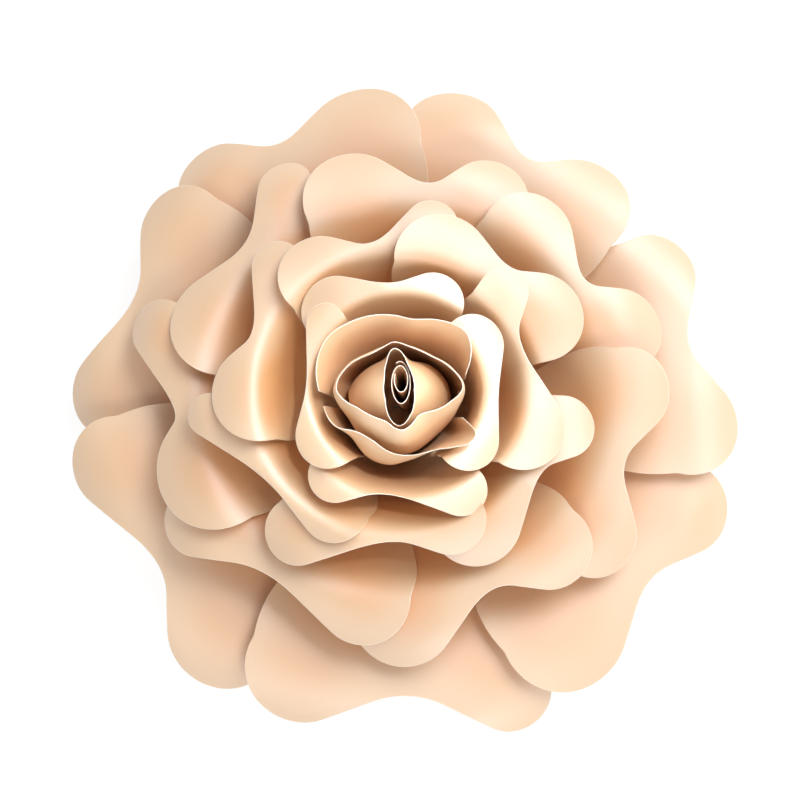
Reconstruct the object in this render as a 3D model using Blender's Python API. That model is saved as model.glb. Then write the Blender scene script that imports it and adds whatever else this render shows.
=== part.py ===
"""Giant paper flower: a rose of two-lobed card petals glued in rings on a round card base.

The flower lies on its back. The origin is the middle of the base's back face, +Z is the flower's
own axis and +Y is the top of the flower as it would hang. Metres throughout, angles in degrees
counter-clockwise from +X. Every petal is a sheet of card: a flat foot glued near the axis, a bowl
that climbs to the rim, and two lobes rolled back at its outer corners.
"""
import math
from typing import NamedTuple

import bpy

# Card and base
CARD = 0.0004
GLUE_GAP = 0.0003
BASE_RADIUS = 0.066
BASE_THICKNESS = 0.002
BASE_SEGMENTS = 48

# Plan point of the flower's axis
AXIS = (0.0, 0.0)

# Fineness of the petals' faces
PETAL_COLUMNS = 14
PETAL_ROWS = 6
LOBE_STEPS = 14
NOTCH_STEPS = 6
PROFILE_STEPS = 40

# Share of the space between two neighbours that their feet fill
FOOT_FILL = 0.88
# Share of the way out to its lobes by which a petal has opened to its full spread
OPEN_SHARE = 0.9
# Steepest slope of a rolled lobe, and how far the rolls lean out towards the petal's own side
ROLL_LIMIT = 48
ROLL_SKEW_OVER = -8
ROLL_SKEW_UNDER = 20


class Lobe(NamedTuple):
    """A round lobe: where its centre stands about the flower's axis, and its radius."""
    angle: float
    reach: float
    radius: float


class Petal(NamedTuple):
    """A two-lobed petal. Left is the counter-clockwise side, and a side lies over or under its neighbour."""
    left: Lobe
    right: Lobe
    notch_angle: float
    notch_reach: float
    left_over: bool
    right_over: bool


class Wall(NamedTuple):
    """A petal of the bud, which stands round the axis like a barrel. Its heights follow the inner ring's."""
    start: float
    end: float
    foot_inner: float
    foot_outer: float
    flare: float
    belly: tuple
    belly_drop: float
    rim: tuple
    rim_rise: tuple
    closed: bool


class Ring(NamedTuple):
    """What the petals of one ring share. The bowl is full height at this share of the reach of the lobes."""
    foot_inner: float
    foot_outer: float
    bowl_share: float
    bowl_height: float
    fan: float
    fan_ramp: float
    tuck: float
    roll_over: float
    roll_under: float
    lead_under: float
    notch_round: float
    shoulder: float
    petals: tuple


OUTER_RING = Ring(
    foot_inner=0.034, foot_outer=0.060, bowl_share=0.95, bowl_height=0.040, fan=0.011, fan_ramp=0.050,
    tuck=0.0, roll_over=1.4, roll_under=1.6, lead_under=0.006, notch_round=0.45, shoulder=4,
    petals=(
        Petal(Lobe(130, 0.214, 0.032), Lobe(99, 0.195, 0.043), 116, 0.209, False, True),
        Petal(Lobe(80, 0.202, 0.037), Lobe(48, 0.192, 0.037), 63, 0.196, False, True),
        Petal(Lobe(27, 0.205, 0.031), Lobe(355, 0.207, 0.036), 11, 0.206, False, True),
        Petal(Lobe(339, 0.217, 0.033), Lobe(305, 0.199, 0.046), 324, 0.214, False, True),
        Petal(Lobe(290, 0.221, 0.030), Lobe(249, 0.204, 0.041), 271, 0.206, False, True),
        Petal(Lobe(232, 0.212, 0.041), Lobe(192, 0.214, 0.034), 214, 0.208, False, True),
        Petal(Lobe(178, 0.214, 0.033), Lobe(142, 0.206, 0.033), 158, 0.208, False, True),
    ))

SECOND_RING = Ring(
    foot_inner=0.027, foot_outer=0.050, bowl_share=0.95, bowl_height=0.076, fan=0.011, fan_ramp=0.035,
    tuck=0.0, roll_over=1.7, roll_under=2.0, lead_under=0.010, notch_round=0.45, shoulder=4,
    petals=(
        Petal(Lobe(158, 0.139, 0.037), Lobe(119, 0.175, 0.020), 135, 0.154, True, False),
        Petal(Lobe(104, 0.145, 0.036), Lobe(67, 0.156, 0.029), 83, 0.150, True, False),
        Petal(Lobe(52, 0.143, 0.033), Lobe(17, 0.162, 0.030), 32, 0.149, True, False),
        Petal(Lobe(1, 0.157, 0.031), Lobe(324, 0.166, 0.030), 343, 0.158, True, False),
        Petal(Lobe(314, 0.147, 0.030), Lobe(270, 0.153, 0.037), 295, 0.144, True, False),
        Petal(Lobe(259, 0.144, 0.033), Lobe(211, 0.169, 0.026), 231, 0.154, True, False),
        Petal(Lobe(201, 0.142, 0.043), Lobe(164, 0.182, 0.022), 184, 0.158, True, False),
    ))

THIRD_RING = Ring(
    foot_inner=0.020, foot_outer=0.042, bowl_share=0.95, bowl_height=0.104, fan=0.012, fan_ramp=0.020,
    tuck=0.002, roll_over=1.9, roll_under=2.0, lead_under=0.006, notch_round=0.45, shoulder=4,
    petals=(
        Petal(Lobe(180, 0.098, 0.034), Lobe(134, 0.126, 0.018), 158, 0.109, True, False),
        Petal(Lobe(125, 0.099, 0.029), Lobe(80, 0.121, 0.018), 101, 0.103, True, False),
        Petal(Lobe(73, 0.096, 0.033), Lobe(29, 0.110, 0.031), 49, 0.113, True, False),
        Petal(Lobe(44, 0.098, 0.017), Lobe(343, 0.087, 0.029), 25, 0.086, True, True),
        Petal(Lobe(348, 0.114, 0.022), Lobe(300, 0.101, 0.032), 331, 0.108, False, False),
        Petal(Lobe(291, 0.094, 0.024), Lobe(233, 0.119, 0.024), 266, 0.100, True, False),
        Petal(Lobe(240, 0.092, 0.024), Lobe(186, 0.136, 0.015), 212, 0.110, True, False),
    ))

INNER_RING = Ring(
    foot_inner=0.012, foot_outer=0.036, bowl_share=1.0, bowl_height=0.117, fan=0.010, fan_ramp=0.008,
    tuck=0.002, roll_over=1.8, roll_under=3.2, lead_under=0.004, notch_round=0.45, shoulder=4,
    petals=(
        Petal(Lobe(129, 0.072, 0.024), Lobe(70, 0.065, 0.021), 96, 0.073, False, False),
        Petal(Lobe(32, 0.058, 0.021), Lobe(323, 0.057, 0.021), 358, 0.066, True, True),
        Petal(Lobe(301, 0.079, 0.018), Lobe(232, 0.073, 0.019), 261, 0.069, False, False),
        Petal(Lobe(212, 0.058, 0.023), Lobe(138, 0.070, 0.013), 178, 0.064, True, True),
    ))

RINGS = (("outer_petal", OUTER_RING), ("second_petal", SECOND_RING), ("third_petal", THIRD_RING),
         ("inner_petal", INNER_RING))

# Where the bud's feet lie in the stack, on top of the four rings'
BUD_LAYER = 4
WRAP_LAYER = 5

BUD_PETALS = (
    ("bud_petal_upper", BUD_LAYER, Wall(
        start=12, end=182, foot_inner=0.004, foot_outer=0.022, flare=0.6,
        belly=((12, 0.047), (45, 0.036), (95, 0.030), (140, 0.037), (182, 0.050)), belly_drop=0.009,
        rim=((12, 0.045), (22, 0.051), (32, 0.056), (42, 0.058), (59, 0.053), (79, 0.047), (94, 0.049),
             (127, 0.056), (145, 0.060), (164, 0.059), (182, 0.055)),
        rim_rise=((12, 0.017), (95, 0.019), (182, 0.015)), closed=False)),
    ("bud_petal_lower", BUD_LAYER, Wall(
        start=192, end=335, foot_inner=0.004, foot_outer=0.022, flare=0.38,
        belly=((192, 0.043), (215, 0.051), (240, 0.064), (258, 0.062), (275, 0.053), (300, 0.045),
               (335, 0.039)),
        belly_drop=0.027,
        rim=((192, 0.054), (210, 0.051), (224, 0.042), (242, 0.040), (262, 0.044), (280, 0.046), (299, 0.048),
             (311, 0.054), (321, 0.060), (329, 0.059), (335, 0.046)),
        rim_rise=((192, 0.003), (200, 0.010), (220, 0.014), (262, 0.011), (300, 0.017), (318, 0.024),
                  (328, 0.020), (335, 0.006)),
        closed=False)),
    ("bud_wrap_outer", WRAP_LAYER, Wall(
        start=0, end=360, foot_inner=0.014, foot_outer=0.019, flare=0.15,
        belly=((0, 0.050), (20, 0.046), (45, 0.038), (98, 0.036), (135, 0.044), (180, 0.056), (205, 0.056),
               (225, 0.060), (273, 0.060), (307, 0.054), (341, 0.052)), belly_drop=0.012,
        rim=((0, 0.042), (21, 0.036), (46, 0.029), (76, 0.0275), (98, 0.030), (115, 0.0285), (134, 0.030),
             (156, 0.037), (180, 0.043), (192, 0.039), (208, 0.031), (245, 0.025), (273, 0.029), (307, 0.023),
             (341, 0.034)),
        rim_rise=((0, 0.020), (98, 0.025), (180, 0.020), (273, 0.022)), closed=True)),
    ("bud_wrap_inner", WRAP_LAYER, Wall(
        start=0, end=360, foot_inner=0.0092, foot_outer=0.0125, flare=0.15,
        belly=((0, 0.058), (45, 0.046), (75, 0.030), (98, 0.028), (120, 0.036), (150, 0.053), (180, 0.066),
               (215, 0.055), (245, 0.036), (268, 0.028), (300, 0.040), (330, 0.052)), belly_drop=0.019,
        rim=((8, 0.0095), (45, 0.0115), (71, 0.016), (98, 0.026), (121, 0.018), (150, 0.012), (186, 0.011),
             (220, 0.013), (237, 0.017), (268, 0.026), (290, 0.020), (312, 0.014), (340, 0.010)),
        rim_rise=((0, 0.019), (98, 0.023), (180, 0.021), (268, 0.019)), closed=True)),
)
BUD_COLUMNS = 24
BUD_ROWS = 5

# The rolled strip in the middle: half-widths and middle of its inner and outer turns, and how far it
# stands above the inner ring's bowl
ROLL_TURNS = 1.9
ROLL_INNER = (0.0040, 0.0064)
ROLL_OUTER = (0.0072, 0.0165)
ROLL_INNER_SHIFT = 0.0062
ROLL_OUTER_SHIFT = 0.0015
ROLL_START = 150
ROLL_RISE = 0.016
ROLL_FOOT_SHARE = 0.40
ROLL_COLUMNS = 28
ROLL_ROWS = 3

# Material
CARD_COLOUR = (0.73, 0.47, 0.28, 1.0)
BOARD_COLOUR = (0.80, 0.74, 0.64, 1.0)
CARD_ROUGHNESS = 0.55


def polar(angle, reach):
    """The plan point at an angle in degrees and a distance from the flower's axis."""
    return (reach * math.cos(math.radians(angle)), reach * math.sin(math.radians(angle)))


def turn(angle, towards):
    """The signed turn in degrees from one direction to another, between -180 and 180."""
    return (towards - angle + 180) % 360 - 180


def ease(share):
    """A smooth step from 0 to 1."""
    share = min(max(share, 0.0), 1.0)
    return share * share * (3 - 2 * share)


def axis_of(petal):
    """The direction half way between a petal's two lobes."""
    return petal.right.angle + turn(petal.right.angle, petal.left.angle) / 2


def tangent_angle(lobe, point, outer_side):
    """The direction, from a lobe's centre, of the point where a line from outside touches its circle."""
    centre = polar(lobe.angle, lobe.reach)
    away = (point[0] - centre[0], point[1] - centre[1])
    distance = max(math.hypot(*away), lobe.radius * 1.001)
    return math.degrees(math.atan2(away[1], away[0]) + outer_side * math.acos(lobe.radius / distance))


def lobe_arc(lobe, start, end, turning):
    """Points round a lobe from one direction to another, turning +1 or -1."""
    sweep = (turning * (end - start)) % 360
    centre = polar(lobe.angle, lobe.reach)
    points = []
    for step in range(LOBE_STEPS + 1):
        direction = math.radians(start + turning * sweep * step / LOBE_STEPS)
        points.append((centre[0] + lobe.radius * math.cos(direction),
                       centre[1] + lobe.radius * math.sin(direction)))
    return points


def rim_of(petal, notch_round):
    """The rim from the left flank round both lobes to the right flank, with a rounded notch between them."""
    notch = polar(petal.notch_angle, petal.notch_reach)
    left = lobe_arc(petal.left, tangent_angle(petal.left, AXIS, -1),
                    tangent_angle(petal.left, notch, 1), -1)
    right = lobe_arc(petal.right, tangent_angle(petal.right, notch, -1),
                     tangent_angle(petal.right, AXIS, 1), -1)
    start, end = left[-1], right[0]
    bend_in = [notch[i] + (start[i] - notch[i]) * notch_round for i in (0, 1)]
    bend_out = [notch[i] + (end[i] - notch[i]) * notch_round for i in (0, 1)]
    valley = []
    for step in range(NOTCH_STEPS + 1):
        t = step / NOTCH_STEPS
        valley.append(tuple((1 - t) ** 2 * bend_in[i] + 2 * t * (1 - t) * notch[i] + t * t * bend_out[i]
                            for i in (0, 1)))
    return left + valley + right


def spaced(points, count):
    """The same line with its points at even distances."""
    lengths = [0.0]
    for before, after in zip(points, points[1:]):
        lengths.append(lengths[-1] + math.dist(before, after))
    even = []
    place = 0
    for step in range(count + 1):
        wanted = lengths[-1] * step / count
        while place < len(points) - 2 and lengths[place + 1] < wanted:
            place += 1
        span = lengths[place + 1] - lengths[place]
        share = (wanted - lengths[place]) / span if span else 0.0
        even.append(tuple(a + (b - a) * min(share, 1.0) for a, b in zip(points[place], points[place + 1])))
    return even


def roll_drop(lobe, point, ring, outward, over):
    """How far a rolled lobe falls at a plan point, the lobe's card bent round a cylinder."""
    radius = lobe.radius * (ring.roll_over if over else ring.roll_under)
    direction = math.radians(lobe.angle + outward * (ROLL_SKEW_OVER if over else ROLL_SKEW_UNDER))
    centre = polar(lobe.angle, lobe.reach - (0 if over else ring.lead_under))
    past = (point[0] - centre[0]) * math.cos(direction) + (point[1] - centre[1]) * math.sin(direction)
    if past <= 0:
        return 0.0
    steepest = math.radians(ROLL_LIMIT)
    bent = min(past, radius * math.sin(steepest))
    return radius - math.sqrt(radius * radius - bent * bent) + (past - bent) * math.tan(steepest)


def petal_height(petal, ring, spaces, point):
    """How high the petal stands above its own foot at a plan point."""
    reach = math.hypot(*point)
    across = turn(axis_of(petal), math.degrees(math.atan2(point[1], point[0])))
    if across > 0:
        side = (1 if petal.left_over else -1) * across / spaces[0]
    else:
        side = (1 if petal.right_over else -1) * -across / spaces[1]
    side *= ease((reach - ring.foot_outer) / ring.fan_ramp)
    bowl = ring.bowl_share * (petal.left.reach + petal.right.reach) / 2 - ring.foot_outer
    climb = (reach + ring.tuck * side - ring.foot_outer) / bowl
    rolled = roll_drop(petal.left, point, ring, 1, petal.left_over)
    rolled += roll_drop(petal.right, point, ring, -1, petal.right_over)
    return ring.bowl_height * ease(climb) + ring.fan * side - rolled


def petal_grid(petal, ring, spaces, level, columns, rows):
    """Rows of points from the foot to the rim, one list for each column."""
    axis = axis_of(petal)
    foot_left = spaces[0] / 2 * FOOT_FILL
    foot_right = spaces[1] / 2 * FOOT_FILL
    rim = spaced(rim_of(petal, ring.notch_round), columns)
    flank_end = min(math.hypot(*rim[0]), math.hypot(*rim[-1]))
    grid = []
    for column, end in enumerate(rim):
        across = foot_left - (foot_left + foot_right) * column / columns
        shoulder = ring.shoulder * (1 - 2 * column / columns)
        reach = math.hypot(*end)
        swing = turn(axis + across, math.degrees(math.atan2(end[1], end[0])))
        line = []
        for step in range(PROFILE_STEPS + 1):
            out = ring.foot_outer + (reach - ring.foot_outer) * step / PROFILE_STEPS
            along = min((out - ring.foot_outer) / (flank_end - ring.foot_outer), 1)
            angle = axis + across + swing * ease(along / OPEN_SHARE) + shoulder * 4 * along * (1 - along)
            point = polar(angle, out)
            line.append((point[0], point[1], level + petal_height(petal, ring, spaces, point)))
        grid.append([(*polar(axis + across, ring.foot_inner), level)] + spaced(line, rows - 1))
    return grid


def spaces_of(ring, index):
    """The angles from a petal's axis to those of its left and right neighbours."""
    axis = axis_of(ring.petals[index])
    before = axis_of(ring.petals[index - 1])
    after = axis_of(ring.petals[(index + 1) % len(ring.petals)])
    return (turn(axis, before) % 360, turn(after, axis) % 360)


def value_at(table, angle, closed):
    """A smooth value through (angle, value) pairs, round the whole circle if the table is closed."""
    entries = list(table)
    if closed:
        entries = [(table[-1][0] - 360, table[-1][1])] + entries + [(a + 360, v) for a, v in table[:2]]
        angle = angle % 360 + (360 if angle % 360 < entries[0][0] else 0)
    place = 0
    while place < len(entries) - 2 and entries[place + 1][0] < angle:
        place += 1
    (a0, v0), (a1, v1) = entries[place], entries[place + 1]
    share = min(max((angle - a0) / (a1 - a0), 0), 1)
    before = entries[max(place - 1, 0)]
    after = entries[min(place + 2, len(entries) - 1)]
    slope0 = (v1 - before[1]) / (a1 - before[0]) * (a1 - a0)
    slope1 = (after[1] - v0) / (after[0] - a0) * (a1 - a0)
    cubic = 2 * (v0 - v1) + slope0 + slope1
    square = 3 * (v1 - v0) - 2 * slope0 - slope1
    return ((cubic * share + square) * share + slope0) * share + v0


def bezier(points, t):
    """A point on the cubic curve with four control points."""
    weights = ((1 - t) ** 3, 3 * t * (1 - t) ** 2, 3 * t * t * (1 - t), t ** 3)
    return tuple(sum(w * p[i] for w, p in zip(weights, points)) for i in range(len(points[0])))


def wall_grid(wall, level, columns, rows):
    """Rows of points from the foot up the barrel to the rim, one list for each column."""
    grid = []
    belly_height = INNER_RING.bowl_height - wall.belly_drop
    for column in range(columns if wall.closed else columns + 1):
        angle = wall.start + (wall.end - wall.start) * column / columns
        belly = value_at(wall.belly, angle, wall.closed)
        rim = value_at(wall.rim, angle, wall.closed)
        top = INNER_RING.bowl_height + value_at(wall.rim_rise, angle, wall.closed)
        lower = wall.foot_outer + (belly - wall.foot_outer) * wall.flare
        curve = ((wall.foot_outer, 0), (lower, 0), (belly, belly_height), (rim, top))
        line = []
        for step in range(PROFILE_STEPS + 1):
            out, height = bezier(curve, step / PROFILE_STEPS)
            line.append((*polar(angle, out), level + height))
        grid.append([(*polar(angle, wall.foot_inner), level)] + spaced(line, rows - 1))
    return grid


def roll_grid(level, columns, rows):
    """The rolled strip: turns that widen outwards and narrow towards the foot."""
    grid = []
    for column in range(columns + 1):
        share = column / columns
        angle = math.radians(ROLL_START + 360 * ROLL_TURNS * share)
        half = [ROLL_INNER[i] + (ROLL_OUTER[i] - ROLL_INNER[i]) * share for i in (0, 1)]
        shift = ROLL_INNER_SHIFT + (ROLL_OUTER_SHIFT - ROLL_INNER_SHIFT) * share
        line = []
        for row in range(rows + 1):
            up = row / rows
            scale = ROLL_FOOT_SHARE + (1 - ROLL_FOOT_SHARE) * up
            line.append((half[0] * math.cos(angle) * scale, (half[1] * math.sin(angle) + shift) * scale,
                         level + (INNER_RING.bowl_height + ROLL_RISE) * up))
        grid.append(line)
    return grid


def make_material(name, colour):
    """A plain card finish."""
    material = bpy.data.materials.new(name)
    material.use_nodes = True
    shader = material.node_tree.nodes["Principled BSDF"]
    shader.inputs["Base Color"].default_value = colour
    shader.inputs["Roughness"].default_value = CARD_ROUGHNESS
    return material


def add_sheet(name, grid, material, closed=False):
    """An object of card made from a grid of points, thickened evenly about its middle surface."""
    rows = len(grid[0])
    vertices = [point for line in grid for point in line]
    columns = len(grid)
    faces = []
    for column in range(columns if closed else columns - 1):
        beside = (column + 1) % columns
        for row in range(rows - 1):
            here = column * rows + row
            there = beside * rows + row
            faces.append((here, here + 1, there + 1, there))
    mesh = bpy.data.meshes.new(name)
    mesh.from_pydata(vertices, [], faces)
    mesh.shade_smooth()
    mesh.materials.append(material)
    sheet = bpy.data.objects.new(name, mesh)
    bpy.context.collection.objects.link(sheet)
    card = sheet.modifiers.new("card", "SOLIDIFY")
    card.thickness = CARD
    card.offset = 0.0
    card.use_even_offset = True
    return sheet


def make_base():
    """The round card base that every foot is glued to."""
    bpy.ops.mesh.primitive_cylinder_add(vertices=BASE_SEGMENTS, radius=BASE_RADIUS, depth=BASE_THICKNESS,
                                        location=(0, 0, BASE_THICKNESS / 2))
    base = bpy.context.object
    base.name = "base_disc"
    base.data.materials.append(make_material("board", BOARD_COLOUR))


def foot_level(layer):
    """The height of the middle of the card in the feet of one layer of the stack."""
    return BASE_THICKNESS + GLUE_GAP + CARD / 2 + layer * (CARD + GLUE_GAP)


def make_ring(name, ring, layer):
    """One ring of petals on its own level of the stack of feet."""
    for index, petal in enumerate(ring.petals):
        label = f"{name}_{index + 1}"
        grid = petal_grid(petal, ring, spaces_of(ring, index), foot_level(layer), PETAL_COLUMNS, PETAL_ROWS)
        add_sheet(label, grid, make_material(label, CARD_COLOUR))


def make_bud():
    """The petals that stand round the axis, and the strip rolled up inside them."""
    for name, layer, wall in BUD_PETALS:
        grid = wall_grid(wall, foot_level(layer), BUD_COLUMNS, BUD_ROWS)
        add_sheet(name, grid, make_material(name, CARD_COLOUR), wall.closed)
    grid = roll_grid(foot_level(WRAP_LAYER) - CARD / 2, ROLL_COLUMNS, ROLL_ROWS)
    add_sheet("centre_roll", grid, make_material("centre_roll", CARD_COLOUR))


def clear_scene():
    """Remove whatever the scene holds."""
    for item in list(bpy.data.objects):
        bpy.data.objects.remove(item)


def main():
    """Build the flower from the base up."""
    clear_scene()
    make_base()
    for layer, (name, ring) in enumerate(RINGS):
        make_ring(name, ring, layer)
    make_bud()


main()
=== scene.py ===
"""Looks of the giant paper flower: every petal as a fine sheet of rolled pearl card, and its stage.

The flower lies on its back, +Z along its own axis and +Y at its top. Metres throughout, angles in
degrees counter-clockwise from +X. Every petal is a sheet of card: a flat foot glued near the axis,
a bowl that climbs to the rim, and two lobes rolled back at its outer corners.
"""

import math
from typing import NamedTuple

import bpy
from bpy.props import FloatProperty, FloatVectorProperty, IntProperty, PointerProperty
from mathutils import Matrix, Vector


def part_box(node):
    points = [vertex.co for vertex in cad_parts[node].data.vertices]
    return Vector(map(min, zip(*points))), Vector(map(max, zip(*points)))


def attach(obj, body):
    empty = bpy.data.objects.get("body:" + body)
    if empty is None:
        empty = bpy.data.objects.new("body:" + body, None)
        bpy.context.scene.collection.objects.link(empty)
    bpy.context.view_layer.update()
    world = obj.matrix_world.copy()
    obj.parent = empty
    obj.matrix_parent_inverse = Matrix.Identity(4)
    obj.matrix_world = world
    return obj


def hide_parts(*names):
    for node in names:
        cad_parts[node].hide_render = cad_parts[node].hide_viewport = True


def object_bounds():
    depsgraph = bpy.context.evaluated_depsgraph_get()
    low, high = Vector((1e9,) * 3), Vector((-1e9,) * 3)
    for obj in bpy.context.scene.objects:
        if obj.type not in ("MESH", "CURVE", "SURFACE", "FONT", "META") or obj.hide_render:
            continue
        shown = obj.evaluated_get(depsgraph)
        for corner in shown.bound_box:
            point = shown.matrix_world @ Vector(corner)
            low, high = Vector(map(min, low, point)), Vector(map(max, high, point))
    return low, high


bl_info = {
    "name": "Giant Paper Flower",
    "version": (1, 0, 0),
    "blender": (4, 5, 0),
    "location": "View3D > Sidebar > Paper Flower",
    "description": "Dresses a giant paper flower in rolled pearl card and sets its stage",
    "category": "Object",
}

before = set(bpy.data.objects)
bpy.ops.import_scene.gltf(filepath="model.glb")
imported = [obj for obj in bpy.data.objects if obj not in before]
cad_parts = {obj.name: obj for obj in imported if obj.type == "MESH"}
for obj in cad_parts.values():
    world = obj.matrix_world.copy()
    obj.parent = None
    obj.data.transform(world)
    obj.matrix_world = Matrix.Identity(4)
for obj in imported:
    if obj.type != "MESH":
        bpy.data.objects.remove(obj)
CAD_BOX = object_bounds()
BODY = "root"

# Plan point of the flower's axis
AXIS = (0.0, 0.0)
# Gap that stands for the glue between two feet
GLUE_GAP = 0.0003
# Points that trace a lobe, a notch and a petal's line from foot to rim
LOBE_STEPS = 32
NOTCH_STEPS = 16
PROFILE_STEPS = 64
# Share of the space between two neighbours that their feet fill
FOOT_FILL = 0.88
# Share of the way out to its lobes by which a petal has opened to its full spread
OPEN_SHARE = 0.9
# Steepest slope of a rolled lobe, and how far the rolls lean out towards the petal's own side
ROLL_LIMIT = 48
ROLL_SKEW_OVER = -8
ROLL_SKEW_UNDER = 20
# Nearest that a point may be to a lobe's centre for a line that touches the lobe, in radii
TOUCH_MIN = 1.001
# Layers of the stack of feet, counted from the base
OUTER_LAYER = 0
SECOND_LAYER = 1
THIRD_LAYER = 2
INNER_LAYER = 3
BUD_LAYER = 4
WRAP_LAYER = 5
# How far in from its cut edge a card shows a pale band: the card's paler cut core, and a painted
# highlight of its lit lip
LIP = 0.0006
# Painted shade: how far in from its rims a petal's card begins to darken, and where it is darkest
SHADE_START = 0.006
SHADE_END = 0.050
# How strongly the painted shade darkens each ring and the bud; past 1 it is fully dark before SHADE_END
OUTER_SHADE = 0.6
SECOND_SHADE = 1.0
THIRD_SHADE = 1.3
INNER_SHADE = 0.4
BUD_SHADE = 0.3
# Index and level at which the card's pearl coat reflects
PEARL_IOR = 2.1
PEARL_LEVEL = 1.0
# Felt fibres of the petals' card and of the base's board: how fine, how deep and how plain they are
FIBRE_DETAIL = 2.0
CARD_FIBRE_SCALE = 1800.0
CARD_FIBRE_DEPTH = 0.00005
CARD_RELIEF = 0.15
BOARD_FIBRE_SCALE = 900.0
BOARD_FIBRE_DEPTH = 0.0001
BOARD_RELIEF = 0.4
# Roughness of the board and of the floor
BOARD_ROUGHNESS = 0.85
FLOOR_ROUGHNESS = 0.9
# Where a Mix node keeps its two colours and their mix among its sockets
MIX_COLOURS = (6, 7)
MIX_RESULT = 2


class Lobe(NamedTuple):
    """A round lobe: where its centre stands about the flower's axis, and its radius."""
    angle: float
    reach: float
    radius: float


class Petal(NamedTuple):
    """A two-lobed petal, whose left is its counter-clockwise side.

    Each side lies over or under its neighbour.
    """
    left: Lobe
    right: Lobe
    notch_angle: float
    notch_reach: float
    left_over: bool
    right_over: bool


class Ring(NamedTuple):
    """What the petals of one ring share.

    bowl_share is how far out, as a share of the lobes' reach, the bowl is at its full height. A side
    that lies over its neighbour stands higher by fan where it meets the neighbour's axis, and climbs
    sooner by tuck. The rolls' radii are in radii of the lobe, and lead_under is how far in from the
    centre of a lobe that lies under its neighbour its roll begins. notch_round is how far towards the
    lobes the notch's curve starts, and shoulder is by how many degrees the flanks bulge.
    """
    foot_inner: float
    foot_outer: float
    bowl_share: float
    bowl_height: float
    fan: float
    fan_ramp: float
    tuck: float
    roll_over: float
    roll_under: float
    lead_under: float
    notch_round: float
    shoulder: float
    petals: tuple


class Wall(NamedTuple):
    """A sheet of the bud, which stands round the axis like a barrel from one angle to another.

    belly and rim are (angle, reach) pairs, and rim_rise is (angle, height) pairs above the inner ring's
    bowl. The line from foot to rim leaves the foot flat for the flare, a share of the way to the belly,
    and is drawn out towards the belly, belly_drop below that bowl.
    """
    start: float
    end: float
    foot_inner: float
    foot_outer: float
    flare: float
    belly: tuple
    belly_drop: float
    rim: tuple
    rim_rise: tuple
    closed: bool


OUTER_RING = Ring(
    foot_inner=0.034, foot_outer=0.060, bowl_share=0.95, bowl_height=0.040,
    fan=0.011, fan_ramp=0.050, tuck=0.0, roll_over=1.4, roll_under=1.6, lead_under=0.006,
    notch_round=0.45, shoulder=4,
    petals=(
        Petal(Lobe(130, 0.214, 0.032), Lobe(99, 0.195, 0.043), 116, 0.209, False, True),
        Petal(Lobe(80, 0.202, 0.037), Lobe(48, 0.192, 0.037), 63, 0.196, False, True),
        Petal(Lobe(27, 0.205, 0.031), Lobe(355, 0.207, 0.036), 11, 0.206, False, True),
        Petal(Lobe(339, 0.217, 0.033), Lobe(305, 0.199, 0.046), 324, 0.214, False, True),
        Petal(Lobe(290, 0.221, 0.030), Lobe(249, 0.204, 0.041), 271, 0.206, False, True),
        Petal(Lobe(232, 0.212, 0.041), Lobe(192, 0.214, 0.034), 214, 0.208, False, True),
        Petal(Lobe(178, 0.214, 0.033), Lobe(142, 0.206, 0.033), 158, 0.208, False, True),
    ))

SECOND_RING = Ring(
    foot_inner=0.027, foot_outer=0.050, bowl_share=0.95, bowl_height=0.076,
    fan=0.011, fan_ramp=0.035, tuck=0.0, roll_over=1.7, roll_under=2.0, lead_under=0.010,
    notch_round=0.45, shoulder=4,
    petals=(
        Petal(Lobe(158, 0.139, 0.037), Lobe(119, 0.175, 0.020), 135, 0.154, True, False),
        Petal(Lobe(104, 0.145, 0.036), Lobe(67, 0.156, 0.029), 83, 0.150, True, False),
        Petal(Lobe(52, 0.143, 0.033), Lobe(17, 0.162, 0.030), 32, 0.149, True, False),
        Petal(Lobe(1, 0.157, 0.031), Lobe(324, 0.166, 0.030), 343, 0.158, True, False),
        Petal(Lobe(314, 0.147, 0.030), Lobe(270, 0.153, 0.037), 295, 0.144, True, False),
        Petal(Lobe(259, 0.144, 0.033), Lobe(211, 0.169, 0.026), 231, 0.154, True, False),
        Petal(Lobe(201, 0.142, 0.043), Lobe(164, 0.182, 0.022), 184, 0.158, True, False),
    ))

THIRD_RING = Ring(
    foot_inner=0.020, foot_outer=0.042, bowl_share=0.95, bowl_height=0.104,
    fan=0.012, fan_ramp=0.020, tuck=0.002, roll_over=1.9, roll_under=2.0, lead_under=0.006,
    notch_round=0.45, shoulder=4,
    petals=(
        Petal(Lobe(180, 0.098, 0.034), Lobe(134, 0.126, 0.018), 158, 0.109, True, False),
        Petal(Lobe(125, 0.099, 0.029), Lobe(80, 0.121, 0.018), 101, 0.103, True, False),
        Petal(Lobe(73, 0.096, 0.033), Lobe(29, 0.110, 0.031), 49, 0.113, True, False),
        Petal(Lobe(44, 0.098, 0.017), Lobe(343, 0.087, 0.029), 25, 0.086, True, True),
        Petal(Lobe(348, 0.114, 0.022), Lobe(300, 0.101, 0.032), 331, 0.108, False, False),
        Petal(Lobe(291, 0.094, 0.024), Lobe(233, 0.119, 0.024), 266, 0.100, True, False),
        Petal(Lobe(240, 0.092, 0.024), Lobe(186, 0.136, 0.015), 212, 0.110, True, False),
    ))

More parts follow.
